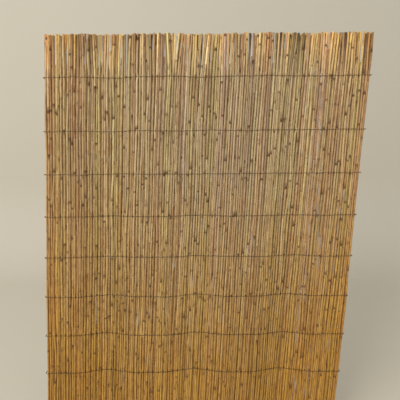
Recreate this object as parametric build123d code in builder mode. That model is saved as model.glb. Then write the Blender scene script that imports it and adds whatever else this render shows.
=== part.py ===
from build123d import *
import math
import os
import random

os.makedirs("parts", exist_ok=True)

# Reed screen: a length cut from a roll of garden screening.
# Dry reeds stand side by side, and rows of twisted wire bind them into one mat.
# Sizes are in millimetres. X runs along the screen, Z is up, and -Y is the face that is looked at.

# Driving dimensions of the mat. It is two reeds thick, and each layer has its own reeds.
# Groups of reeds stand in bundles, and the wires change faces between bundles.
mat_height = 1000
mat_thickness = 8.8
bundle_count = 10
bundle_pitch = 74
groups_in_bundle = 3
reeds_in_group = 4
# Each reed stands this far out of the valleys beside it, and its round is drawn with this many flats.
reed_relief = 2.4
edge_relief = 1.35
round_flats = 5
# Reeds differ in width by this share, and taper by this share from end to end.
width_spread = 0.15
taper_spread = 0.08
# Neighbours sit this much nearer to one face or the other.
depth_spread = 0.25
# Each layer draws its reeds' widths and depths from its own seed.
front_seed = 4
rear_seed = 9

# The mat leans along its wires and waves in depth, less so at its top end.
lean_angle = 3.2
bundles_in_wave = 3
wave_at_bottom = 18
wave_at_top = 5

# Driving dimensions of the binding wire. The rows are counted from the top end down.
first_row_drop = 94
first_row_pitch = 120
row_pitch = 100
last_row_margin = 60
wire_diameter = 1.1
wire_clearance = 0.25
strand_gap = 0.3

# Gaps between the bundles where the two strands of a row change faces
gap_clearance = 0.5
gap_length = 42
web_margin = 0.3

# Gaps between the groups at the top end, where the thin tips of the reeds spread.
# Their depths are shares of the free end above the first row's gaps.
tip_gap_width = 1.8
tip_gap_point = 12
tip_gap_shares = (0.9, 0.5, 0.7, 0.8)

# Worked out from the sizes above
gap_width = wire_diameter + 2 * gap_clearance
web_width = max(gap_width, tip_gap_width) + 2 * web_margin
group_count = bundle_count * groups_in_bundle
group_pitch = bundle_pitch / groups_in_bundle
mat_width = bundle_count * bundle_pitch
lean_shift = mat_height * math.tan(math.radians(lean_angle))
valley_depth = mat_thickness / 2 - reed_relief
wire_offset = mat_thickness / 2 + depth_spread + wire_clearance + wire_diameter / 2


def wave_height(level):
    """Give the height of the wave, from crest to trough, at a level from 0 (bottom) to 1 (top)."""
    return wave_at_bottom + (wave_at_top - wave_at_bottom) * level


def shift_at(level):
    """Give how far the lean has carried the mat along X at a level."""
    return lean_shift * (level - 0.5)


def middle_depth(place, level):
    """Give the depth of the mat's middle at a place counted in bundles from the left edge.

    The wave runs straight along each bundle and turns between bundles.
    """
    before = math.floor(place)
    depths = []
    for station in (before, before + 1):
        turn = 2 * math.pi * station / bundles_in_wave - math.pi / 3
        depths.append(-wave_height(level) * (math.cos(turn) + 0.25) / 1.5)
    return depths[0] + (depths[1] - depths[0]) * (place - before)


def valleys(level, seed):
    """Give the lines where a layer's reeds meet, from left to right: a list of (x, depth) for each group."""
    draw = random.Random(seed)
    groups = []
    for group in range(group_count):
        shares = []
        for _ in range(reeds_in_group):
            width = draw.uniform(1 - width_spread, 1 + width_spread)
            taper = draw.uniform(-taper_spread, taper_spread)
            shares.append(width * (1 + taper * level))
        x = group * group_pitch + web_width / 2
        lines = []
        for reed in range(reeds_in_group + 1):
            depth = middle_depth(x / bundle_pitch, level)
            if 0 < reed < reeds_in_group:
                depth += draw.uniform(-depth_spread, depth_spread)
            lines.append((x - mat_width / 2 + shift_at(level), depth))
            if reed < reeds_in_group:
                x += (group_pitch - web_width) * shares[reed] / sum(shares)
        groups.append(lines)
    return groups


def ridge(start, end, relief):
    """Draw one reed's round from valley to valley, as a chain of flats that stands out to the right."""
    chord = math.hypot(end[0] - start[0], end[1] - start[1])
    along_x = (end[0] - start[0]) / chord
    along_y = (end[1] - start[1]) / chord
    radius = (chord ** 2 / 4 + relief ** 2) / (2 * relief)
    half_turn = 2 * math.atan(2 * relief / chord)
    corners = [start]
    for flat in range(1, round_flats):
        turn = half_turn * (2 * flat / round_flats - 1)
        way = chord / 2 + radius * math.sin(turn)
        out = relief - radius * (1 - math.cos(turn))
        corners.append((start[0] + way * along_x + out * along_y, start[1] + way * along_y - out * along_x))
    Polyline(*corners, end)


def draw_section(level):
    """Draw the mat's closed section: ridges and webs along the front, then back along the rear."""
    front = [[(x, depth - valley_depth) for x, depth in group] for group in valleys(level, front_seed)]
    rear = [[(x, depth + valley_depth) for x, depth in group] for group in valleys(level, rear_seed)]
    rear = [group[::-1] for group in rear[::-1]]
    for face, other in ((front, rear), (rear, front)):
        for number, group in enumerate(face):
            for start, end in zip(group, group[1:]):
                ridge(start, end, reed_relief)
            if number + 1 < group_count:
                Line(group[-1], face[number + 1][0])
        ridge(face[-1][-1], other[0][0], edge_relief)


def row_heights():
    """Give the height of each wire row, from the top one down, for as many rows as the mat has room for."""
    first = mat_height - first_row_drop
    second = first - first_row_pitch
    more = math.floor((second - last_row_margin) / row_pitch)
    return [first] + [second - row_pitch * row for row in range(more + 1)]


def lens(length, width):
    """Give the face of a gap: two shallow arcs that meet at its ends."""
    with BuildSketch() as shape:
        with BuildLine():
            ThreePointArc((0, -length / 2), (width / 2, 0), (0, length / 2))
            ThreePointArc((0, length / 2), (-width / 2, 0), (0, -length / 2))
        make_face()
    return shape.sketch


def tip_gap(depth):
    """Give the face of a gap between two reed tips, open above and pointed below."""
    half = tip_gap_width / 2
    shoulder = tip_gap_point - depth
    with BuildSketch() as shape:
        Polygon((-half, half), (-half, shoulder), (0, -depth), (half, shoulder), (half, half), align=None)
    return shape.sketch


def web_place(web, height):
    """Give the place of a gap in the XZ plane, in the web after so many groups, leaning as the reeds do."""
    x = web * group_pitch - mat_width / 2 + shift_at(height / mat_height)
    return Location((x, height), -lean_angle)


wire_webs = range(groups_in_bundle, group_count, groups_in_bundle)
wire_gaps = [web_place(web, height) for height in row_heights() for web in wire_webs]
tip_gaps = [web_place(web, mat_height) for web in range(1, group_count)]
free_end = first_row_drop - gap_length / 2

# The mat: a ruled loft from its bottom section to its top one, then the gaps cut through it
with BuildPart() as reed_mat:
    for level in (0, 1):
        with BuildSketch(Plane.XY.offset(level * mat_height)):
            with BuildLine():
                draw_section(level)
            make_face()
    loft(ruled=True)
    with BuildSketch(Plane.XZ):
        with Locations(*wire_gaps):
            add(lens(gap_length, gap_width))
        for number, share in enumerate(tip_gap_shares):
            with Locations(*tip_gaps[number::len(tip_gap_shares)]):
                add(tip_gap(share * free_end))
    extrude(amount=wave_at_bottom + mat_thickness, both=True, mode=Mode.SUBTRACT)

reed_mat.part.label = "reed_mat"
export_step(reed_mat.part, "parts/reed_mat.step")


def strand_route(height, first_side):
    """Give a strand's corners: over one bundle, through the gap, behind the next, and so on.

    It also goes round the edge reed at either end. The side is -1 for the front and 1 for the rear.
    """
    level = height / mat_height
    left = -mat_width / 2 + shift_at(level)
    edge_reach = edge_relief + wire_clearance + wire_diameter / 2 - web_width / 2
    points = []
    side = first_side
    for station in range(bundle_count + 1):
        x = left + station * bundle_pitch
        if station == 0:
            x -= edge_reach
        elif station == bundle_count:
            x += edge_reach
        middle = middle_depth(station, level)
        points.append((x, middle - side * wire_offset, height))
        points.append((x, middle + side * wire_offset, height))
        side = -side
    return points


# Each row is a pair of strands, one just above the other, that swap faces in every gap.
for row, height in enumerate(row_heights()):
    for name, first_side, way in (("a", -1, 1), ("b", 1, -1)):
        strand_height = height + way * (wire_diameter + strand_gap) / 2
        with BuildPart() as strand:
            with BuildLine():
                route = Polyline(*strand_route(strand_height, first_side))
            with BuildSketch(Plane(origin=route @ 0, x_dir=(0, 0, 1), z_dir=route % 0)):
                RegularPolygon(radius=wire_diameter / 2, side_count=6)
            sweep(transition=Transition.RIGHT)
        label = f"binding_wire_{row + 1}{name}"
        strand.part.label = label
        export_step(strand.part, f"parts/{label}.step")
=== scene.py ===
# %% [markdown]
# # Dressing a reed screen
#
# A reed screen is a mat of dry reeds that stand side by side, bound by rows of twisted wire.
# The solids already hold its size, its slight lean, its shallow wave, a ridge for each reed of its
# two layers and the height of every wire row. This lesson puts real reeds where the solids have
# ridges and a real pair of twisting wires where they have plain strands, and then gives both the
# finish of the real thing.
#
# Everything is in metres, X runs along the wires, Z is up and the face that is looked at is -Y.

# %% Load the solids
import bisect
import math
import random

import bpy
from mathutils import Euler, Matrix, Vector, noise


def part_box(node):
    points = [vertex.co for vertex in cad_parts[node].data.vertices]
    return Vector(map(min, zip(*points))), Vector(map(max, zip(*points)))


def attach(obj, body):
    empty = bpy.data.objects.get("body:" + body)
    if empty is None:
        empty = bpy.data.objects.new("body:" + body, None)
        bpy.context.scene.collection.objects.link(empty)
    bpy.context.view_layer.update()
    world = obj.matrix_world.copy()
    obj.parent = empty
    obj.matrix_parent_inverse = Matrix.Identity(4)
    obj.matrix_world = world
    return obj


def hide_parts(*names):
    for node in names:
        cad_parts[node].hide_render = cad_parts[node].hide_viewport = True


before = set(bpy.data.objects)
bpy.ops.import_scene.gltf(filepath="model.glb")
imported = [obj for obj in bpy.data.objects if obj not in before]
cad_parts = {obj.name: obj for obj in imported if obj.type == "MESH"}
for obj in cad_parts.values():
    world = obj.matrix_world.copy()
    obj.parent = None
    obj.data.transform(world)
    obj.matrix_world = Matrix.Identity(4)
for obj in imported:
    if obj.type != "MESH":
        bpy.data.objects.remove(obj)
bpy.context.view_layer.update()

# %% [markdown]
# ## Where the mat lies
#
# A finish that ignores the solids floats off them. The wire rows are read from the boxes of the
# strands: each row's height is the middle of its two strands, and the way the rows drift along X
# as they go down is the lean.

# %% Read the rows and the lean
wire_nodes = [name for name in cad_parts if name.startswith("binding_wire_")]
row_names = sorted({name[:-1] for name in wire_nodes}, key=lambda name: int(name.split("_")[-1]))
row_heights, row_centres = [], []
for row_name in row_names:
    boxes = [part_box(row_name + strand) for strand in "ab"]
    row_heights.append(sum(low.z + high.z for low, high in boxes) / 4)
    row_centres.append(sum(low.x + high.x for low, high in boxes) / 4)
top_row, bottom_row = row_heights[0], row_heights[-1]
mat_low, mat_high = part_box("reed_mat")
mat_height = mat_high.z - mat_low.z
lean = (row_centres[0] - row_centres[-1]) / (top_row - bottom_row)
mat_width = mat_high.x - mat_low.x - lean * mat_height
print(len(row_names), "wire rows, lean", round(math.degrees(math.atan(lean)), 2), "degrees,",
      "width", round(mat_width, 4))

# %% [markdown]
# ## The wave
#
# A hung screen never stays flat: it bellies out and back every few hand widths, and less at its
# top end, where it is tied. A box can't give that form, so its two heights and its rhythm are
# named here. The solids turn at each bundle, and a real mat eases round the same turns.
#
# At the turns the cosine is 0.5, 0.5 and -1 in order, so its middle is -0.25 and its span is 1.5.

# %% The mat's middle surface
bundle_count = 10
bundle_pitch = mat_width / bundle_count
bundles_in_wave = 3
wave_at_bottom, wave_at_top = 0.018, 0.005
first_turn = math.pi / 3
cosine_middle, cosine_span = -0.25, 1.5
wave_ease = 0.4


def in_mm(length):
    """Give a length in millimetres, for printing."""
    return round(length * 1000, 2)


def left_edge(z):
    """Give where the mat's left edge stands at a height."""
    return -mat_width / 2 + lean * (z - mat_height / 2)


def middle_depth(along, z, ease=wave_ease):
    """Give the depth of the mat's middle at a way along the wires, eased at each turn of the wave."""
    wave = wave_at_bottom + (wave_at_top - wave_at_bottom) * z / mat_height
    place = along / bundle_pitch
    before = math.floor(place)
    part = place - before
    part += ease * (part * part * (3 - 2 * part) - part)
    depths = []
    for station in (before, before + 1):
        turn = 2 * math.pi * station / bundles_in_wave - first_turn
        depths.append(-wave * (math.cos(turn) - cosine_middle) / cosine_span)
    return depths[0] + (depths[1] - depths[0]) * part


half_way = mat_height / 2
for share in (0, 0.25, 0.5, 0.75, 1):
    depth = middle_depth(share * mat_width, half_way)
    print("depth at", share, "of the width, half way up:", in_mm(depth), "mm")

# %% [markdown]
# ## Finding the ridges
#
# The solid mat has a ridge on either face for every reed, in groups with a flat web between them.
# Reeds strewn at random would look as good from the front but would ignore those ridges. So the
# corners along the solid's bottom edge are read back. Those that lie near the middle belong to the
# mat's two sides and are passed over. Each ridge has five flats, so every fifth corner of a group
# is a line where two reeds meet.

# %% Find the ridges
flats_in_ridge = 5
shallowest_corner = 0.0017
narrowest_web = 0.0022
same_corner = 0.00005


def find_ridges(face):
    """Give the lines where the reeds of a face meet (-1 front, 1 rear), as a list for each group."""
    seen = []
    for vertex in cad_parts["reed_mat"].data.vertices:
        x, y, z = vertex.co
        along = x - left_edge(0)
        if z < same_corner and face * (y - middle_depth(along, 0, ease=0)) > shallowest_corner:
            seen.append(along)
    groups = []
    for along in sorted(seen):
        if not groups or along - groups[-1][-1] > narrowest_web:
            groups.append([along])
        elif along - groups[-1][-1] > same_corner:
            groups[-1].append(along)
    return [group[::flats_in_ridge] for group in groups]


front_groups, rear_groups = find_ridges(-1), find_ridges(1)
webs = [(left[-1] + right[0]) / 2 for left, right in zip(front_groups, front_groups[1:])]
print(sum(len(group) - 1 for group in front_groups), "ridges in front and",
      sum(len(group) - 1 for group in rear_groups), "behind, with", len(webs), "webs")

# %% [markdown]
# ## What a reed is like
#
# A dry reed is a hollow stem with a node every 6 to 20 cm, a ring darker than the stem, which often
# fades out along the stem in a dark tail. Scraps of the old leaf sheath still wrap some of the
# stretches between nodes, paler or browner than the stem. Copies of a few reeds would soon show
# their rhythm, so every reed draws its own nodes by lot. One seeded source gives all the lots, and
# the mat is the same at each run.

# %% The stretches of a reed
mat_seed = 21
node_spacing, first_node = (0.06, 0.20), (-0.15, 0)
clean_tints, dull_tints = (0, 0.75), (0.25, 1)
# A dull reed's lower shade is partly its own tone and partly painted shade for lying deeper.
clean_shade, dull_shade, shade_spread = 1.04, 0.96, 0.05
stretch_tint_spread, stretch_shade_spread = 0.16, 0.06
darkest, lightest = 0.7, 1.2
node_strengths = (0.0, 0.5, 0.8, 1.0)
tail_strengths, tail_kinds = (0.75, 1.05), (0, 1, 1)
tail_lengths, tail_ways = (0.006, 0.018), (-1, 1, 1, 1)
sheath_chance, sheath_shares = 0.5, (0.25, 0.9)
sheath_tint_steps = (-0.35, -0.35, 0.3, 0.8)
draw = random.Random(mat_seed)


def within(value, low, high):
    """Keep a value between two limits."""
    return min(max(value, low), high)


def choose_stretches(clean):
    """Give a reed's nodes, and for each how it and the stretch above it look."""
    nodes = [draw.uniform(*first_node)]
    while nodes[-1] < mat_height:
        nodes.append(nodes[-1] + draw.uniform(*node_spacing))
    own_tint = draw.uniform(*(clean_tints if clean else dull_tints))
    own_shade = draw.gauss(clean_shade if clean else dull_shade, shade_spread)
    stretches = []
    for _ in nodes:
        stretches.append({
            "tint": within(own_tint + draw.gauss(0, stretch_tint_spread), 0, 1),
            "shade": within(own_shade + draw.gauss(0, stretch_shade_spread), darkest, lightest),
            "node": draw.choice(node_strengths),
            "tail": draw.uniform(*tail_strengths) * draw.choice(tail_kinds),
            "tail_length": draw.uniform(*tail_lengths) * draw.choice(tail_ways),
            "sheath": draw.uniform(*sheath_shares) if draw.random() < sheath_chance else 0,
            "sheath_tint": within(own_tint + draw.choice(sheath_tint_steps), 0, 1),
        })
    return nodes, stretches


print("nodes lie", in_mm(node_spacing[0]), "to", in_mm(node_spacing[1]), "mm apart")

# %% [markdown]
# ## One reed
#
# A reed has a place along the wires, a layer in depth, a radius at each end and two ends that were
# cut by hand, so not quite level. It also has whims of its own: it slants and fans out a little,
# and its tip is lighter or darker. It is more or less golden and greyed, and blushes green or
# pink. All that is kept in one table for each reed, and the mesh is built from it later.

# %% Lay one reed
tapers, taper_ways = (0.04, 0.16), (1, 1, -1)
uneven_bottom = 0.0015
slant_spread, fan_spread = 0.0009, 0.0013
tip_tones, tip_tone_spread = (-0.12, -0.12, -0.12, 0.5), 0.36
golden_spread, greyed_spread, blush_spread = 0.06, 0.28, 0.65
seed_room = 50
reeds = []


def lay_reed(along, layer, radius, top, fan, clean):
    """Lay one reed into the mat. Its layer runs from -1, in front, to 1, behind."""
    taper = draw.uniform(*tapers) * draw.choice(taper_ways)
    nodes, stretches = choose_stretches(clean)
    reeds.append({
        "along": along,
        "layer": layer,
        "radii": (radius * (1 + taper / 2), radius * (1 - taper / 2)),
        "bottom": draw.uniform(0, uneven_bottom),
        "top": top,
        "slant": draw.gauss(0, slant_spread),
        "fan": fan + draw.gauss(0, fan_spread),
        "tip_tone": draw.choice(tip_tones) + draw.gauss(0, tip_tone_spread),
        "golden": draw.gauss(0, golden_spread),
        "greyed": abs(draw.gauss(0, greyed_spread)),
        "blush": within(draw.gauss(0, blush_spread), -1, 1),
        "nodes": nodes,
        "stretches": stretches,
        "turn": draw.random(),
        "seed": draw.uniform(0, seed_room),
    })


print("reeds taper by", tapers[0], "to", tapers[1], "of their thickness from end to end")

# %% [markdown]
# ## Choosing the reeds
#
# The stems are about 4 to 5.5 mm thick. One stands on each ridge, and a thin one, of about 3 mm, lies
# in each web, so hardly a slit goes right through. At the top end the thin ones stop short, where
# the solid has a gap between the tips. Even rows would look like a comb, so widths, layers and tops
# are drawn by lot.
#
# Clean pale reeds and dull ones tend to take turns, because the dull ones lie a little deeper. A dull
# reed is also darker, partly by its own tone and partly as painted shade for lying deeper.

# %% Lay all the reeds
stem_share, stem_spread = 0.42, (0.94, 1.06)
group_fan_spread = 0.0022
uneven_top, deepest_top = 0.0022, 0.006
clean_after_clean, clean_after_dull = 0.25, 0.8
clean_layers, dull_layers = (0.9, 1), (0.6, 0.85)
for face, groups in ((-1, front_groups), (1, rear_groups)):
    clean = True
    for group in groups:
        fan = draw.gauss(0, group_fan_spread)
        for start, end in zip(group, group[1:]):
            radius = stem_share * (end - start) * draw.uniform(*stem_spread)
            top = mat_height - min(abs(draw.gauss(0, uneven_top)), deepest_top)
            clean = draw.random() < (clean_after_clean if clean else clean_after_dull)
            layer = face * draw.uniform(*(clean_layers if clean else dull_layers))
            lay_reed((start + end) / 2, layer, radius, top, fan, clean)

thin_stems, thin_layers = (0.0014, 0.0018), (-0.3, 0.3)
web_shift = 0.0005
tip_gap_room = 0.073
tip_gap_shares = (0.9, 0.5, 0.7, 0.8)
for number, web in enumerate(webs):
    tip_gap = tip_gap_room * tip_gap_shares[number % len(tip_gap_shares)]
    layer = draw.uniform(*thin_layers)
    radius = draw.uniform(*thin_stems)
    lay_reed(web + web_shift, layer, radius, mat_height - tip_gap, 0, False)
reeds.sort(key=lambda reed: reed["along"])
stems = sorted(sum(reed["radii"]) for reed in reeds)
print(len(reeds), "reeds,", sum(len(reed["nodes"]) for reed in reeds), "nodes, thin ones from",
      in_mm(stems[0]), "mm, stems from", in_mm(stems[len(webs)]), "to", in_mm(stems[-1]), "mm thick")

# %% [markdown]
# ## Where a reed wants to lie
#
# Between the wires a reed bows by a millimetre or two, partly together with its neighbours, and
# slips a little forwards or back. Above the top wire nothing holds the reeds, so the tips fan out.
# Smooth noise that is read at the reed's own place gives such bends: near reeds get near values.
# For each bend three numbers are named: how fast it changes across the mat, how fast along the
# reed, and which page of the noise it reads.

# %% The wanted place of a reed
mat_reach = 0.0044
bow_together, bow_alone, slip_share = 0.0024, 0.0020, 0.3
together_waves, alone_waves, slip_waves = (30, 4.5, 3.7), (1, 7, 8.1), (1, 6, 21.3)
bottom_freedom = 0.5
fan_curve = 1.3


def free_end(z):
    """Give how free the reeds are at a height: 0 between the outermost wires, 1 at the top end."""
    if z > top_row:
        return (z - top_row) / (mat_height - top_row)
    if z < bottom_row:
        return bottom_freedom * (bottom_row - z) / bottom_row
    return 0.0


def stem_radius(reed, z):
    """Give the radius of a reed at a height, between its nodes."""
    low, high = reed["radii"]
    return low + (high - low) * z / mat_height


def wander(across, up, waves):
    """Give smooth noise, from -1 to 1, that changes as fast as the waves say."""
    return noise.noise(Vector((across * waves[0], up * waves[1], waves[2])))


def wanted_place(reed, z):
    """Give where a reed would lie if its neighbours made room: along the wires, and in depth."""
    together = wander(reed["along"], z, together_waves)
    alone = wander(reed["seed"], z, alone_waves)
    slip = wander(reed["seed"], z, slip_waves)
    along = reed["along"] + bow_together * together + bow_alone * alone
    along += reed["slant"] * (2 * z / mat_height - 1) + reed["fan"] * free_end(z) ** fan_curve
    depth = (reed["layer"] + slip_share * slip) * (mat_reach - stem_radius(reed, z))
    return [along, depth]


print("half way up, the first reed wants to lie at",
      [in_mm(value) for value in wanted_place(reeds[0], half_way)], "mm")

# %% [markdown]
# ## Pushing apart and drawing together
#
# If each reed went where it wants, some would run into each other and slits would open between
# others. A physics simulation would be slow for so many thin rods. Instead each level of the mat is
# a row of circles: neighbours that overlap push each other apart, and neighbours on both sides of a
# slit draw together. A stem gives a little where it is pressed, which is the squeeze.

# %% Move neighbours
neighbours_tried = 6
squeeze = 0.94
slit_pull = 0.4


def push_apart(spots, radii):
    """Move neighbours that run into each other apart, each by half of the way."""
    for one in range(len(spots)):
        for other in range(one + 1, min(one + neighbours_tried + 1, len(spots))):
            aside = spots[other][0] - spots[one][0]
            back = spots[other][1] - spots[one][1]
            away = math.hypot(aside, back)
            short = squeeze * (radii[one] + radii[other]) - away
            if short > 0 and away > 0 and radii[one] and radii[other]:
                for spot, way in ((spots[one], -1), (spots[other], 1)):
                    spot[0] += way * 0.5 * short * aside / away
                    spot[1] += way * 0.5 * short * back / away


def close_slits(spots, radii, widest):
    """Draw together the two reeds beside each slit that goes right through and is too wide."""
    order = sorted((spots[n][0] - radii[n], n) for n in range(len(spots)) if radii[n])
    reach, last = order[0]
    for start, number in order:
        if start > reach + widest:
            pull = slit_pull * (start - reach - widest)
            spots[number][0] -= pull
            spots[last][0] += pull
        if spots[number][0] + radii[number] > reach:
            reach, last = spots[number][0] + radii[number], number


def keep_inside(spots, radii):
    """Keep every reed inside the mat's two faces and its two sides."""
    for spot, radius in zip(spots, radii):
        spot[0] = within(spot[0], radius, mat_width - radius)
        spot[1] = within(spot[1], radius - mat_reach, mat_reach - radius)


pair = [[0.010, 0.0], [0.013, 0.0]]
push_apart(pair, [0.002, 0.002])
print("two 4 mm stems, 3 mm apart before the push, lie", in_mm(pair[1][0] - pair[0][0]), "mm apart")

# %% [markdown]
# ## Letting the reeds settle
#
# After a few rounds of that the circles lie as reeds in a mat do. Below the top wire hardly a slit
# is left, and between the free tips slits of about a millimetre stay open, as on the real screen. A
# reed that stops just below a level still counts there, or its neighbours would crowd in over it.

# %% Settle a level
settling_rounds = 14
widest_tip_gap = 0.0012
still_counts = 0.007


def settle(z):
    """Give the place of each reed at a level, with a radius of 0 for a reed that ends below it."""
    radii = [stem_radius(reed, z) if z <= reed["top"] + still_counts else 0 for reed in reeds]
    spots = [wanted_place(reed, z) for reed in reeds]
    for _ in range(settling_rounds):
        push_apart(spots, radii)
        close_slits(spots, radii, 0.0 if z <= top_row else widest_tip_gap)
        keep_inside(spots, radii)
    return spots, radii


def open_share(spots, radii):
    """Give the share of the mat's width that can be seen straight through."""
    covered, reach = 0.0, 0.0
    for start, end in sorted((s[0] - r, s[0] + r) for s, r in zip(spots, radii) if r):
        covered += max(0.0, end - max(start, reach))
        reach = max(reach, end)
    return 1 - covered / mat_width


for z in (0.45, 0.97):
    print("seen through at height", z, "-", round(100 * open_share(*settle(z)), 1), "percent")

# %% [markdown]
# ## Levels and twists
#
# The reeds settle at every wire row, half way between rows, at the ends and once more within the
# free end, and run smoothly in between. Working out every ring of every reed that way would take
# far longer and look the same.
#
# At a row the two strands twist and change faces at every web and again in the middle of every
# group. The reeds between two neighbouring twists make a bay, and stay together.

# %% Choose the levels and the twists
thin_reed_room = 0.0017
free_end_level = 0.045
levels = sorted({0.0, bottom_row / 2, top_row + free_end_level, mat_height} | set(row_heights)
                | {(above + below) / 2 for above, below in zip(row_heights, row_heights[1:])})
twist_homes = [web - thin_reed_room for web in webs]
for front, rear in zip(front_groups, rear_groups):
    twist_homes.append((front[len(front) // 2] + rear[len(rear) // 2]) / 2)
twist_homes.sort()
bays = [bisect.bisect(twist_homes, reed["along"]) for reed in reeds]
print(len(levels), "levels,", len(twist_homes), "twists in a row,",
      round(len(reeds) / (len(twist_homes) + 1), 1), "reeds in a bay")

# %% [markdown]
# ## The grip of the wires
#
# At a twist the strands pass through the mat, so there the reeds part by a little more than half a
# millimetre. The twist goes where the parting is, which differs a little from row to row, as on the
# real mat. How far each reed is pushed aside is kept for each row.

# %% Settle all levels
twist_room = 0.0003


def part_for_twists(spots, radii):
    """Part the reeds at each twist by twice the twist room, and give the places of the twists."""
    twists = []
    for number in range(len(twist_homes)):
        left = max(s[0] + r for s, r, bay in zip(spots, radii, bays) if bay == number)
        right = min(s[0] - r for s, r, bay in zip(spots, radii, bays) if bay == number + 1)
        twists.append((left + right) / 2)
    for spot, radius, bay in zip(spots, radii, bays):
        if bay > 0:
            spot[0] = max(spot[0], twists[bay - 1] + twist_room + radius)
        if bay < len(twists):
            spot[0] = min(spot[0], twists[bay] - twist_room - radius)
    return twists


for reed in reeds:
    reed["line"], reed["held"] = [], []
for z in levels:
    for reed, spot in zip(reeds, settle(z)[0]):
        reed["line"].append(spot)
row_twists = []
for height in row_heights:
    free, radii = settle(height)
    spots = [list(spot) for spot in free]
    for _ in range(settling_rounds):
        push_apart(spots, radii)
        keep_inside(spots, radii)
        twists = part_for_twists(spots, radii)
    row_twists.append(twists)
    for reed, spot, before in zip(reeds, spots, free):
        reed["held"].append((spot[0] - before[0], spot[1] - before[1]))
pushes = sorted(abs(aside) for reed in reeds for aside, _ in reed["held"])
print("the wires push reeds aside by up to", in_mm(pushes[-1]), "mm, usually by",
      in_mm(pushes[len(pushes) // 2]), "mm")

# %% [markdown]
# ## The line of a reed
#
# A smooth curve joins the places at the levels. The slope at a level is the one from the level below
# to the level above, so a reed never kinks. Near a wire row the reed is also pushed to where the
# wire holds it.

# %% The line of a reed
grip_reach = 0.005


def smooth_line(values, z):
    """Give a value at a height, on a smooth line through the values at the levels."""
    at = within(bisect.bisect(levels, z) - 1, 0, len(levels) - 2)
    span = levels[at + 1] - levels[at]
    part = (z - levels[at]) / span
    slopes = []
    for number in (at, at + 1):
        low, high = max(number - 1, 0), min(number + 1, len(levels) - 1)
        slopes.append((values[high] - values[low]) / (levels[high] - levels[low]) * span)
    rise = values[at + 1] - values[at]
    bend = (slopes[0] - rise) * (1 - part) - (slopes[1] - rise) * part
    return values[at] + rise * part + part * (1 - part) * bend


def reed_centre(reed, z):
    """Give the middle of a reed at a height."""
    along, depth = (smooth_line([spot[axis] for spot in reed["line"]], z) for axis in (0, 1))
    for height, (aside, back) in zip(row_heights, reed["held"]):
        if abs(z - height) < 3 * grip_reach:
            grip = math.exp(-((z - height) / grip_reach) ** 2)
            along += aside * grip
            depth += back * grip
    return left_edge(z) + along, middle_depth(along, z) + depth


print("half way up, the first reed lies at", [in_mm(c) for c in reed_centre(reeds[0], half_way)])

# %% [markdown]
# ## The swelling at a node
#
# A reed swells by a fraction of a millimetre at each node and has a slight neck just above it, where
# the sheath once sat. Both are smooth bells along the stem, and the stem's own thickness wanders a
# little too. The light catches that, and a tube of even thickness would look like plastic.

# %% The radius of a reed
stem_unevenness, uneven_waves = 0.02, (1, 22, 40.2)
swelling, swelling_reach = 0.00015, 0.0022
neck, neck_height, neck_reach = 0.00010, 0.0065, 0.003


def reed_radius(reed, z):
    """Give the radius of a reed at a height, with its swollen nodes."""
    radius = stem_radius(reed, z) * (1 + stem_unevenness * wander(reed["seed"], z, uneven_waves))
    place = bisect.bisect(reed["nodes"], z) - 1
    for node in reed["nodes"][max(place, 0):place + 2]:
        off = z - node
        radius += swelling * math.exp(-(off / swelling_reach) ** 2)
        radius -= neck * math.exp(-((off - neck_height) / neck_reach) ** 2)
    return radius


print("half way up, the first reed's radius is", in_mm(reed_radius(reeds[0], half_way)), "mm")

# %% [markdown]
# ## Where a reed gets its rings
#
# Curves with a bevel would be quick, but they can't swell at a node. So each reed is a stack of
# rings, joined to a tube: a steady step along the straight stretches, and more rings at each node,
# at each wire and where a scrap of sheath ends in a thin step.

# %% Ring heights
ring_step = 0.04
node_rings = (-0.018, -0.009, -0.0045, -0.0018, 0.0, 0.0018, 0.0045, 0.009, 0.018)
wire_rings = (-0.010, -0.005, 0.0, 0.005, 0.010)
sheath_rings = (-0.0004, 0.0004)
closest_rings = 0.0007


def sheath_end(reed, place):
    """Give the height at which the sheath on a stretch ends, or None."""
    nodes, share = reed["nodes"], reed["stretches"][place]["sheath"]
    if not share or place + 1 >= len(nodes):
        return None
    return nodes[place] + share * (nodes[place + 1] - nodes[place])


def ring_heights(reed):
    """Give the heights of a reed's rings."""
    low, high = reed["bottom"], reed["top"]
    steps = max(2, round((high - low) / ring_step))
    heights = [low + (high - low) * step / steps for step in range(steps + 1)]
    heights += [height + off for height in row_heights for off in wire_rings]
    for place, node in enumerate(reed["nodes"]):
        heights += [node + off for off in node_rings]
        end = sheath_end(reed, place)
        if end:
            heights += [end + off for off in sheath_rings]
    heights = sorted(h for h in heights if low <= h <= high)
    kept = [heights[0]]
    for h in heights[1:]:
        if h - kept[-1] > closest_rings:
            kept.append(h)
    kept[-1] = high
    return kept


print("the first reed has", len(ring_heights(reeds[0])), "rings")

# %% [markdown]
# ## How dark a node is
#
# The mesh of a reed carries more than its shape: numbers at each point tell the finish what the
# point is. The first one is how near a node is. The dark ring reaches a little further on the side
# where its tail runs on, and the tail fades evenly. A painted texture could do it too, but numbers
# at the points need no picture. Marks that grow up the screen are named as a pair: the strength at
# the bottom end, and how much more there is at the top.

# %% Darkness at a node
node_depth, node_growth = 0.85, (0.72, 0.28)
plain_side_reach, tail_side_reach = 0.0018, 0.0034


def grown(growth, level):
    """Give a strength at a level from 0, the bottom end, to 1, the top end."""
    at_bottom, more_at_top = growth
    return at_bottom + more_at_top * level


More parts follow.
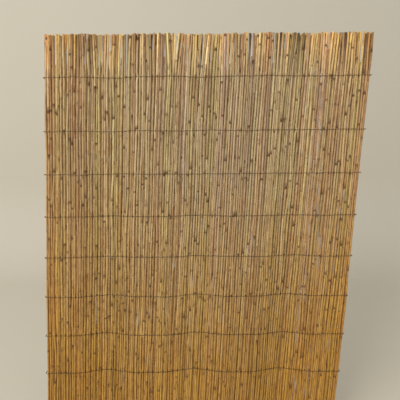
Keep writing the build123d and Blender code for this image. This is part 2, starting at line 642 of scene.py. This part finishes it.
def node_darkness(reed, z, place, level):
    """Give how dark the node nearest to a height makes the reed there, with its tail."""
    nodes = reed["nodes"]
    near = min(range(max(place - 1, 0), min(place + 2, len(nodes))), key=lambda n: abs(z - nodes[n]))
    off, mark = z - nodes[near], reed["stretches"][near]
    passed = off / mark["tail_length"]
    reach = tail_side_reach if passed > 0 else plain_side_reach
    darkness = node_depth * mark["node"] * math.exp(-(off / reach) ** 2)
    if passed > 0:
        darkness = max(darkness, mark["tail"] * mark["node"] * (1 - passed))
    return darkness * grown(node_growth, level)


print("node marks are", node_growth[0], "as dark at the bottom end as at the top end")

# %% [markdown]
# ## Gold and grey, with painted shade and sheen
#
# The screen is painted warmer and darker low down and along its two sides, which is painted shade,
# and paler in between. Its tips are more golden. A paler, greyer patch in its upper half, a little
# right of the middle, is a painted sheen. Smooth slopes and one soft bell give that, and each reed
# adds its own share of gold and weathered grey, so no border shows.

# %% Gold and grey of a reed, with painted shade and sheen
# Painted shade: the reeds are made warmer and darker low down and towards both sides.
low_shade_top, low_shade_fade, most_low_shade = 0.70, 0.46, 1.13
tip_gold = 0.65
painted_side_shade, side_shade_curve = 0.55, 4
# The soft bell is a painted sheen: paler and greyer in the upper half, a little right of the middle.
sheen_strength = 0.62
sheen_middle = (0.43, 0.72)
sheen_reach = (0.19, 0.26)


def gold_and_shade_at(reed, z, level):
    """Give how golden a reed is at a height, with painted shade low down and towards the sides."""
    painted_low_shade = within((low_shade_top - z) / low_shade_fade, 0, most_low_shade)
    golden = painted_low_shade + tip_gold * level * free_end(z) + reed["golden"]
    return golden + painted_side_shade * (2 * reed["along"] / mat_width - 1) ** side_shade_curve


def grey_and_sheen_at(reed, z, level):
    """Give how greyed a reed is at a height, with a painted sheen in its upper middle."""
    aside = (reed["along"] - sheen_middle[0]) / sheen_reach[0]
    above = (z - sheen_middle[1]) / sheen_reach[1]
    return reed["greyed"] * level + sheen_strength * math.exp(-aside * aside - above * above)


middle_reed = reeds[len(reeds) // 2]
for share in (0.1, 0.5, 0.9):
    golden, greyed = (look(middle_reed, share * mat_height, share) for look in (gold_and_shade_at, grey_and_sheen_at))
    print("middle reed at", share, "of the height: gold", round(golden, 2), "grey", round(greyed, 2))

# %% [markdown]
# ## What each point knows
#
# The other marks are the tint and shade of the stretch, or of its sheath, whether the point lies on
# the sawn end, and whether it blushes pink or green. Low down the reeds are more alike, and higher
# up they differ more. Seven numbers may seem many, but one finish can then serve every reed.

# %% Marks of a reed
marks = ("tint", "shade", "node_mark", "cut", "golden", "greyed", "blush")
sheath_lift = 0.00016
middle_tint = 0.5
tint_growth, shade_growth, blush_growth = (0.48, 0.42), (0.40, 0.42), (0.4, 0.6)
tip_curve = 0.5
cloud_depth, cloud_waves = 0.10, (60, 9, 11.4)


def reed_marks(reed, z):
    """Give the marks of a reed at a height, and how far its sheath stands proud there."""
    level = min(z / mat_height, 1)
    place = max(bisect.bisect(reed["nodes"], z) - 1, 0)
    stretch = reed["stretches"][place]
    tint, proud = stretch["tint"], 0.0
    end = sheath_end(reed, place)
    if end and z < end:
        tint, proud = stretch["sheath_tint"], sheath_lift
    tint = middle_tint + (tint - middle_tint) * grown(tint_growth, level)
    shade = 1 + (stretch["shade"] - 1) * grown(shade_growth, level)
    shade += reed["tip_tone"] * free_end(z) ** tip_curve * level
    shade += cloud_depth * wander(reed["along"], z, cloud_waves)
    node_mark = node_darkness(reed, z, place, level)
    golden, greyed = gold_and_shade_at(reed, z, level), grey_and_sheen_at(reed, z, level)
    blush = reed["blush"] * grown(blush_growth, level)
    return (tint, shade, node_mark, 0.0, golden, greyed, blush), proud


print("marks half way up:", [round(value, 2) for value in reed_marks(reeds[0], half_way)[0]])

# %% [markdown]
# ## The sawn ends
#
# The ends are open, as on a real stem: a pale rim, and a bore a few millimetres deep that is painted
# dark, which is painted shade. A flat lid would show at once along the top end. Two more rings at
# each end turn the tube's wall inwards and down the bore, and their marks tell the finish how far in
# they are.

# %% The rings of a reed
bore_depth = 0.007
rim_share, bore_share = 0.70, 0.62
rim_cut, bore_cut = 0.6, 1.0
# Painted shade: the floor of the bore is darkened.
bore_shade = 0.5


def cut_marks(mark, cut, darker=1.0):
    """Give the marks of a reed's end, changed for a point that the saw laid open."""
    tint, shade, _, _, golden, greyed, blush = mark
    return tint, shade * darker, 0.0, cut, golden, greyed, blush


def reed_rings(reed):
    """Give a reed's rings from bore to bore: the middle, the radius and the marks of each."""
    rings = []
    for z in ring_heights(reed):
        x, y = reed_centre(reed, z)
        mark, proud = reed_marks(reed, z)
        rings.append((x, y, z, reed_radius(reed, z) + proud, mark))
    ends = []
    for (x, y, z, radius, mark), way in ((rings[0], 1), (rings[-1], -1)):
        rim = (x, y, z, radius * rim_share, cut_marks(mark, rim_cut))
        floor_marks = cut_marks(mark, bore_cut, bore_shade)
        ends.append([rim, (x, y, z + way * bore_depth, radius * bore_share, floor_marks)])
    return ends[0][::-1] + rings + ends[1]


print("with its bores the first reed has", len(reed_rings(reeds[0])), "rings")

# %% [markdown]
# ## From rings to a mesh
#
# Ten sides are enough for a stem this thin once it is shaded smooth. The UV map unrolls the stem in
# metres, so fibres in the finish run along the reed whichever way it leans. The wires are tubes of
# rings too, but theirs go round the other way, so one helper skins both and is told which way.

# %% Add one reed
reed_sides = 10


def skin_tube(mesh_lists, first, ways, sides, round_length, uv_start, turning):
    """Join the rings from a first point on to a closed tube whose faces look outwards.

    The ways are the rings' places along the tube, and turning is 1 or -1, the way they go round.
    """
    _, faces, uvs, _ = mesh_lists
    start_u, start_v = uv_start
    order = (0, 1, 2, 3) if turning > 0 else (0, 3, 2, 1)
    for ring, (low, high) in enumerate(zip(ways, ways[1:])):
        low_v, high_v = low + start_v, high + start_v
        base = first + ring * sides
        above = base + sides
        for side in range(sides):
            after = (side + 1) % sides
            low_u, high_u = (round_length * (side + step) / sides + start_u for step in (0, 1))
            corners = (base + side, base + after, above + after, above + side)
            places = ((low_u, low_v), (high_u, low_v), (high_u, high_v), (low_u, high_v))
            faces.append(tuple(corners[n] for n in order))
            uvs += [places[n] for n in order]
    last = first + (len(ways) - 1) * sides
    faces.append(tuple(range(first, first + sides))[::-turning])
    faces.append(tuple(range(last, last + sides))[::turning])
    uvs += [uv_start] * (2 * sides)


def add_reed(reed, mesh_lists):
    """Add one reed's points, faces, UVs and marks to the lists of the piece that holds it."""
    points, _, _, point_marks = mesh_lists
    rings = reed_rings(reed)
    first = len(points)
    for x, y, z, radius, mark in rings:
        for side in range(reed_sides):
            turn = 2 * math.pi * (side + reed["turn"]) / reed_sides
            points.append((x + radius * math.cos(turn), y + radius * math.sin(turn), z))
            point_marks.append(mark)
    ways, uv_start = [z for _, _, z, _, _ in rings], (reed["turn"], reed["seed"])
    skin_tube(mesh_lists, first, ways, reed_sides, math.pi * sum(reed["radii"]), uv_start, 1)


trial = ([], [], [], [])
add_reed(reeds[0], trial)
print("the first reed has", len(trial[0]), "points and", len(trial[1]), "faces")

# %% [markdown]
# ## From lists to a piece
#
# Blender takes a mesh as plain lists, which is far quicker than adding point after point by hand.
# Every mark becomes an attribute of the points. The piece rides on the screen's one body and takes
# the place of its solids.

# %% Make a piece
def make_piece(name, mesh_lists, nodes):
    """Turn the lists into a smooth mesh that takes the place of the named solids."""
    points, faces, uvs, point_marks = mesh_lists
    mesh = bpy.data.meshes.new(name)
    mesh.from_pydata(points, [], faces)
    for index, mark in enumerate(marks if point_marks else ()):
        layer = mesh.attributes.new(mark, "FLOAT", "POINT")
        layer.data.foreach_set("value", [values[index] for values in point_marks])
    uv_layer = mesh.uv_layers.new(name="stem")
    uv_layer.data.foreach_set("uv", [value for uv in uvs for value in uv])
    mesh.polygons.foreach_set("use_smooth", [True] * len(mesh.polygons))
    mesh.update()
    piece = bpy.data.objects.new(name, mesh)
    bpy.context.collection.objects.link(piece)
    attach(piece, "root")
    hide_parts(*nodes)
    return piece


print("each point of a reed will carry", len(marks), "marks:", ", ".join(marks))

# %% [markdown]
# ## All the reeds
#
# One mesh for every reed would make hundreds of pieces, and a single mesh for the whole mat would
# be clumsy to work on. The reeds of one bundle make one piece, so a bundle can be hidden or redone.

# %% Build the bundles
reed_pieces = []
for bundle in range(bundle_count):
    lists = ([], [], [], [])
    for reed in reeds:
        if min(int(reed["along"] / bundle_pitch), bundle_count - 1) == bundle:
            add_reed(reed, lists)
    reed_pieces.append(make_piece(f"reeds_{bundle + 1:02d}", lists, ["reed_mat"]))
print(len(reed_pieces), "pieces of reeds with",
      sum(len(piece.data.polygons) for piece in reed_pieces), "faces")

# %% [markdown]
# ## The weave of a binding wire
#
# Each row is a pair of thin wires. One runs in front of a few reeds while its partner runs behind
# them, then the two twist half a turn round each other, in the gap between two bays, and change
# sides. A single straight tube would look like a rail laid on the reeds. So each strand follows its
# own weaving line, and at every twist it trades depth with its partner while it passes just over
# or under it.

# %% Weave a strand
twist_reach = 0.0016
run_steps, twist_steps = 4, 8


def strand_places(twists, first_side):
    """Give a strand's way along the wires, its side and its lift over its partner, end to end."""
    side = first_side
    places, start = [(0.0, side, 0.0)], 0.0
    for twist in twists:
        run = twist - twist_reach - start
        places += [(start + run * step / run_steps, side, 0.0) for step in range(1, run_steps)]
        for step in range(twist_steps + 1):
            turn = math.pi * (step / twist_steps - 0.5)
            along = twist + twist_reach * 2 * turn / math.pi
            places.append((along, -side * math.sin(turn), side * math.cos(turn)))
        side, start = -side, twist + twist_reach
    run = mat_width - start
    places += [(start + run * step / run_steps, side, 0.0) for step in range(1, run_steps + 1)]
    return places


print("a strand's weave has", len(strand_places(row_twists[0], -1)), "places")

# %% [markdown]
# ## The line of a binding wire
#
# At the mat's sides each strand is bent round the last reed, one strand just above the other. A row
# still rises and falls by a millimetre as the reeds shift, so a slow and a quick wave are laid over
# its height. A row at one even height would look drawn with a ruler.

# %% The line of a strand
wire_offset = 0.0051
pass_height = 0.0006
bend_steps = 5
end_reach, end_fade = 0.0016, 0.006
slow_rise, slow_waves = 0.0014, (14, 7.7, 1.5)
quick_rise, quick_waves = 0.0011, (65, 7.7, 5.2)


def strand_line(row_number, first_side):
    """Give the points of a strand that weaves: first_side is -1 where it starts in front."""
    places = strand_places(row_twists[row_number], first_side)
    last_side = places[-1][1]
    lifted = []
    for along, side, lift in places:
        at_start, at_end = max(0, 1 - along / end_fade), max(0, 1 - (mat_width - along) / end_fade)
        lift += first_side * at_start + last_side * at_end
        lifted.append((along, side, lift))
    bend = [math.pi / 2 * part / bend_steps for part in range(-bend_steps, bend_steps)]
    start, end = [], []
    for turn in bend:
        out = end_reach * math.cos(turn)
        start.append((-out, first_side * math.sin(turn), first_side))
        end.append((mat_width + out, last_side * math.sin(turn), last_side))
    points = []
    for along, side, lift in start + lifted + end[::-1]:
        z = row_heights[row_number] + pass_height * lift
        z += slow_rise * wander(along, row_number, slow_waves)
        z += quick_rise * wander(along, row_number, quick_waves)
        y = middle_depth(along, z) + side * wire_offset
        points.append(Vector((left_edge(z) + along, y, z)))
    return points


print("a strand has", len(strand_line(0, -1)), "points")

# %% [markdown]
# ## Sweeping the wires
#
# A curve with a round bevel would do here too. The strands are swept by hand all the same, so that
# they get the same kind of UV map as the reeds, in metres along the wire.

# %% Sweep the strands
wire_radius = 0.00055
wire_sides = 7


def add_wire(line, mesh_lists):
    """Sweep a round wire along a line of points."""
    points = mesh_lists[0]
    first = len(points)
    ways = [0.0]
    for number, point in enumerate(line):
        ahead = (line[min(number + 1, len(line) - 1)] - line[max(number - 1, 0)]).normalized()
        up = (Vector((0, 0, 1)) - ahead * ahead.z).normalized()
        across = ahead.cross(up)
        if number:
            ways.append(ways[-1] + (point - line[number - 1]).length)
        for side in range(wire_sides):
            turn = 2 * math.pi * side / wire_sides
            points.append(point + wire_radius * (math.cos(turn) * up + math.sin(turn) * across))
    skin_tube(mesh_lists, first, ways, wire_sides, 2 * math.pi * wire_radius, (0, 0), -1)


wire_pieces = []
for row_number, row_name in enumerate(row_names):
    lists = ([], [], [], [])
    for first_side in (-1, 1):
        add_wire(strand_line(row_number, first_side), lists)
    wire_pieces.append(make_piece(row_name, lists, [row_name + "a", row_name + "b"]))
print(len(wire_pieces), "wire rows with",
      sum(len(piece.data.polygons) for piece in wire_pieces), "faces")

# %% [markdown]
# ## Tools for the finishes
#
# All the finishes are built from the same few moves: read a mark, lay down grain along the stem,
# spread a value over a range, mix two colours. Image textures could hold the same look, but they
# would blur close up. Node materials stay sharp and follow the marks.
#
# The Mix node has sockets for numbers, vectors and colours, and those for colours are found by
# their places.

# %% A small finishing kit
mix_one, mix_other, mix_result = 6, 7, 2


def srgb(red, green, blue):
    """Turn a colour written in screen values from 0 to 255 into a linear one."""
    linear = []
    for value in (red, green, blue):
        value /= 255
        linear.append(value / 12.92 if value <= 0.04045 else ((value + 0.055) / 1.055) ** 2.4)
    return (*linear, 1.0)


class Finish:
    """A material with short ways to add and join its nodes."""

    def __init__(self, name):
        self.material = bpy.data.materials.new(name)
        self.material.use_nodes = True
        self.nodes = self.material.node_tree.nodes
        self.links = self.material.node_tree.links
        self.shader = self.nodes["Principled BSDF"]

    def join(self, value, socket):
        """Join an output to a socket, or set the socket to a value."""
        if isinstance(value, bpy.types.NodeSocket):
            self.links.new(value, socket)
        else:
            socket.default_value = value

    def add(self, kind, settings=(), **inputs):
        """Add a node, set what it is, and set or join its inputs."""
        node = self.nodes.new("ShaderNode" + kind)
        for key, value in settings:
            setattr(node, key, value)
        for key, value in inputs.items():
            self.join(value, node.inputs[key.replace("_", " ")])
        return node

    def mark(self, name):
        """Give the number that each point of the mesh carries under this name."""
        return self.add("Attribute", [("attribute_name", name)]).outputs["Fac"]

    def grain(self, across, along, detail=3.0, rough=0.55):
        """Give noise that is stretched along the stem, with so many waves to a metre each way."""
        uv = self.add("UVMap", [("uv_map", "stem")]).outputs["UV"]
        place = self.add("Mapping", Vector=uv, Scale=(across, along, 1.0)).outputs["Vector"]
        cloud = self.add("TexNoise", Vector=place, Scale=1.0, Detail=detail, Roughness=rough)
        return cloud.outputs["Fac"]

    def spread(self, value, low, high, to_low=0.0, to_high=1.0):
        """Spread a value from one range to another."""
        node = self.add("MapRange", Value=value)
        ends = (("From Min", low), ("From Max", high), ("To Min", to_low), ("To Max", to_high))
        for key, number in ends:
            node.inputs[key].default_value = number
        return node.outputs["Result"]

    def mix(self, share, one, other, way="MIX"):
        """Mix two colours."""
        node = self.add("Mix", [("data_type", "RGBA"), ("blend_type", way)])
        self.join(share, node.inputs["Factor"])
        self.join(one, node.inputs[mix_one])
        self.join(other, node.inputs[mix_other])
        return node.outputs[mix_result]

    def lay(self, base, value, shown, strength, colour, way="MIX"):
        """Lay a colour over another, from nothing to its full strength over a range of a value."""
        return self.mix(self.spread(value, *shown, 0, strength), base, colour, way)


print("a screen value of 128 is", round(srgb(128, 128, 128)[0], 3), "in linear light")

# %% [markdown]
# ## Colours of dry reed
#
# Dry reed is straw and cream where it is fresh, golden brown where sap has turned it, and greyish
# where the weather has. The colour changes from stretch to stretch, so a ramp reads the tint that
# each point carries. Soft pale and brown patches break it up along the stem. Gold is multiplied in,
# which deepens the colour, partly as sap does and partly as painted shade low down and at the sides.
# Grey is mixed in, which hides the colour, partly as weather does and partly as a painted sheen in
# the upper middle.

# %% Colours of dry reed
reed_colours = (
    (0.00, srgb(226, 207, 158)),
    (0.12, srgb(206, 182, 130)),
    (0.35, srgb(193, 164, 110)),
    (0.55, srgb(186, 156, 102)),
    (0.72, srgb(178, 151, 112)),
    (0.87, srgb(178, 138, 82)),
    (1.00, srgb(140, 98, 56)),
)
pale_patch, brown_patch = srgb(212, 190, 142), srgb(136, 102, 60)
# The gold tint also carries painted shade, and the weather grey also carries a painted sheen.
gold_and_shade_tint, weather_grey_and_sheen = (1.02, 0.765, 0.275, 1.0), srgb(180, 159, 132)
green_blush, pink_blush = (0.92, 1.00, 0.84, 1.0), (1.02, 0.95, 1.14, 1.0)


def add_reed_colour(finish):
    """Give the colour of clean reed: its tint and patches, gold and grey, blush and shade."""
    ramp = finish.add("ValToRGB", Fac=finish.mark("tint"))
    stops = ramp.color_ramp.elements
    while len(stops) < len(reed_colours):
        stops.new(0.5)
    for stop, (position, colour) in zip(stops, reed_colours):
        stop.position = position
        stop.color = colour
    patch = finish.grain(160, 46, detail=3)
    base = finish.lay(ramp.outputs["Color"], patch, (0.52, 0.70), 0.62, pale_patch)
    base = finish.lay(base, patch, (0.48, 0.30), 0.6, brown_patch)
    # The gold mark is partly each reed's own tone and partly painted shade low down and at the sides.
    base = finish.lay(base, finish.mark("golden"), (0, 1.25), 1, gold_and_shade_tint, "MULTIPLY")
    # The grey mark is partly each reed's weathering and partly a painted sheen in the upper middle.
    base = finish.lay(base, finish.mark("greyed"), (0, 1), 0.45, weather_grey_and_sheen)
    blush = finish.mix(finish.spread(finish.mark("blush"), -1, 1), green_blush, pink_blush)
    base = finish.mix(1.0, base, blush, "MULTIPLY")
    shade = finish.mark("shade")
    grey = finish.add("CombineColor", Red=shade, Green=shade, Blue=shade)
    return finish.mix(1.0, base, grey.outputs["Color"], "MULTIPLY")


print("the tint of dry reed runs through", len(reed_colours), "colours")

# %% [markdown]
# ## The finish of dry reed
#
# Fine fibres, brown streaks, freckles of mildew and the dark node rings lie over the colour, and dark
# dashes that are partly mildew and partly painted shadow of the slits between reeds. Then come the
# pale rim and the bore of the sawn ends, the bore painted dark as painted shade. The stem keeps a
# slight gloss from its waxy skin, except where fibres stand up and at the nodes. The fibres are
# also the bump, which costs no faces.

# %% Dry reed
streak_brown, fibre_brown = srgb(146, 106, 62), srgb(120, 88, 54)
mildew_and_slit_shadow, fleck_brown = srgb(92, 62, 34), srgb(80, 56, 36)
node_brown = srgb(84, 53, 22)
rim_straw, bore_shadow = srgb(196, 172, 128), srgb(52, 36, 22)


def reed_finish():
    """Make the finish of the reeds."""
    finish = Finish("dry_reed")
    base = add_reed_colour(finish)
    base = finish.lay(base, finish.grain(260, 12, detail=2), (0.5, 0.75), 0.3, streak_brown)
    fibre = finish.grain(2200, 16, detail=4, rough=0.65)
    base = finish.lay(base, fibre, (0.3, 0.7), 0.22, fibre_brown, "MULTIPLY")
    # Dark dashes: partly mildew, partly painted shadow of the slits between reeds.
    base = finish.lay(base, finish.grain(380, 46, detail=2), (0.6, 0.7), 0.7, mildew_and_slit_shadow)
    base = finish.lay(base, finish.grain(800, 190, detail=2), (0.66, 0.74), 0.6, fleck_brown)
    node_mark, cut = finish.mark("node_mark"), finish.mark("cut")
    base = finish.lay(base, node_mark, (0.06, 0.72), 0.93, node_brown)
    base = finish.lay(base, cut, (0.1, 0.6), 0.8, rim_straw)
    # Painted shade in the bores of the sawn ends.
    base = finish.lay(base, cut, (0.7, 1.0), 0.9, bore_shadow)
    finish.join(base, finish.shader.inputs["Base Color"])
    worn = finish.add("Math", [("operation", "MAXIMUM")])
    finish.join(finish.spread(fibre, 0.2, 0.8, 0.42, 0.64), worn.inputs[0])
    finish.join(finish.spread(node_mark, 0.0, 0.6, 0.4, 0.85), worn.inputs[1])
    finish.join(worn.outputs["Value"], finish.shader.inputs["Roughness"])
    bump = finish.add("Bump", Height=fibre, Strength=0.5, Distance=0.0002)
    finish.join(bump.outputs["Normal"], finish.shader.inputs["Normal"])
    return finish.material


reed_material = reed_finish()
for piece in reed_pieces:
    piece.data.materials.append(reed_material)
print("finish", reed_material.name, "on", len(reed_pieces), "pieces")

# %% [markdown]
# ## The finish of old wire
#
# The wire was galvanised, and a few seasons outdoors have dulled it to a brownish grey with specks
# of rust, more so low down, where rain splashes. A bare metal shader would sparkle, so it is kept
# rough, and rust hides the metal. The height is read from the place of the piece itself.

# %% Old wire
dull_zinc, rust_brown, splash_brown = srgb(134, 110, 76), srgb(112, 82, 50), srgb(64, 44, 26)
splash_heights = (0.9, 0.2)


def wire_finish():
    """Make the finish of the binding wires."""
    finish = Finish("old_wire")
    rust = finish.grain(900, 260, detail=4)
    place = finish.add("SeparateXYZ", Vector=finish.add("TexCoord").outputs["Object"])
    base = finish.mix(finish.spread(rust, 0.42, 0.62), dull_zinc, rust_brown)
    base = finish.lay(base, place.outputs["Z"], splash_heights, 0.9, splash_brown)
    finish.join(base, finish.shader.inputs["Base Color"])
    finish.join(finish.spread(rust, 0.4, 0.62, 0.4, 0.0), finish.shader.inputs["Metallic"])
    finish.join(finish.spread(rust, 0.3, 0.7, 0.5, 0.82), finish.shader.inputs["Roughness"])
    bump = finish.add("Bump", Height=rust, Strength=0.4, Distance=0.0001)
    finish.join(bump.outputs["Normal"], finish.shader.inputs["Normal"])
    return finish.material


wire_material = wire_finish()
for piece in wire_pieces:
    piece.data.materials.append(wire_material)
print("finish", wire_material.name, "on", len(wire_pieces), "pieces")

# %% [markdown]
# ## Floor and backdrop
#
# A pale floor runs into a pale backdrop with a soft curve between them, so no edge draws the eye.
# Two planes would meet in a line, and one bent sheet has none.

# %% Bend a sheet of pale paper
half_width, front, back, top = 4.0, -3.5, 1.6, 4.0
corner, corner_steps = 0.6, 9
paper_colour, paper_roughness = srgb(198, 192, 177), 0.9


def make_backdrop():
    """Make one sheet that is floor in front and backdrop behind, with a round corner."""
    line = [(front, 0.0), (back - corner, 0.0)]
    for step in range(1, corner_steps):
        turn = math.pi / 2 * step / corner_steps
        line.append((back - corner + corner * math.sin(turn), corner * (1 - math.cos(turn))))
    line += [(back, corner), (back, top)]
    points = [(side * half_width, y, z) for y, z in line for side in (-1, 1)]
    faces = [(2 * n, 2 * n + 1, 2 * n + 3, 2 * n + 2) for n in range(len(line) - 1)]
    mesh = bpy.data.meshes.new("backdrop")
    mesh.from_pydata(points, [], faces)
    mesh.polygons.foreach_set("use_smooth", [True] * len(faces))
    sheet = bpy.data.objects.new("backdrop", mesh)
    bpy.context.collection.objects.link(sheet)
    return sheet


backdrop = make_backdrop()
paper = Finish("pale_paper")
paper.join(paper_colour, paper.shader.inputs["Base Color"])
paper.join(paper_roughness, paper.shader.inputs["Roughness"])
backdrop.data.materials.append(paper.material)
print("the backdrop stands", back, "m behind, in", len(backdrop.data.polygons), "strips")

# %% [markdown]
# ## Light
#
# Reeds need a light with a side to it, or their rounds look flat. A large soft lamp stands high on
# the left in front, and an even sky fills the slits so that they stay readable.

# %% Lamp and sky
lamp_place, lamp_target = (-2.4, -2.6, 2.6), (0.2, 0, 0.4)
lamp_side, lamp_power, lamp_colour = 1.7, 86, (1.0, 0.97, 0.93)
sky_colour, sky_strength = (1.0, 0.985, 0.96, 1.0), 0.82

lamp_data = bpy.data.lights.new("soft_lamp", "AREA")
lamp_data.size = lamp_side
lamp_data.energy = lamp_power
lamp_data.color = lamp_colour
lamp = bpy.data.objects.new("soft_lamp", lamp_data)
lamp.location = lamp_place
lamp_way = Vector(lamp_target) - Vector(lamp_place)
lamp.rotation_euler = lamp_way.to_track_quat("-Z", "Y").to_euler()
bpy.context.collection.objects.link(lamp)
sky = bpy.data.worlds.new("sky")
sky.use_nodes = True
sky.node_tree.nodes["Background"].inputs["Color"].default_value = sky_colour
sky.node_tree.nodes["Background"].inputs["Strength"].default_value = sky_strength
bpy.context.scene.world = sky
bpy.context.scene.view_settings.view_transform = "Standard"
print("a lamp of", lamp_power, "W and a sky of strength", sky_strength)

# %% [markdown]
# ## The camera
#
# The view was worked out from the wire rows, which are about 100 mm apart on the real thing but
# crowd together towards the bottom of the picture: the camera stands 0.73 m away and looks down a
# little, with a wide lens.

# %% Camera
image_side = 400
focal_pixels = 308
sensor_width = 36
view_aside, view_distance, view_height = 0.005, 0.732, 0.713
view_down, view_roll = 7.0, 0.45

camera_data = bpy.data.cameras.new("camera")
camera_data.sensor_width = sensor_width
camera_data.lens = sensor_width * focal_pixels / image_side
camera = bpy.data.objects.new("camera", camera_data)
camera.location = (view_aside, -view_distance, view_height)
camera.rotation_euler = Euler((math.radians(90 - view_down), math.radians(view_roll), 0), "XYZ")
bpy.context.collection.objects.link(camera)
bpy.context.scene.camera = camera
print("lens", round(camera_data.lens, 1), "mm")
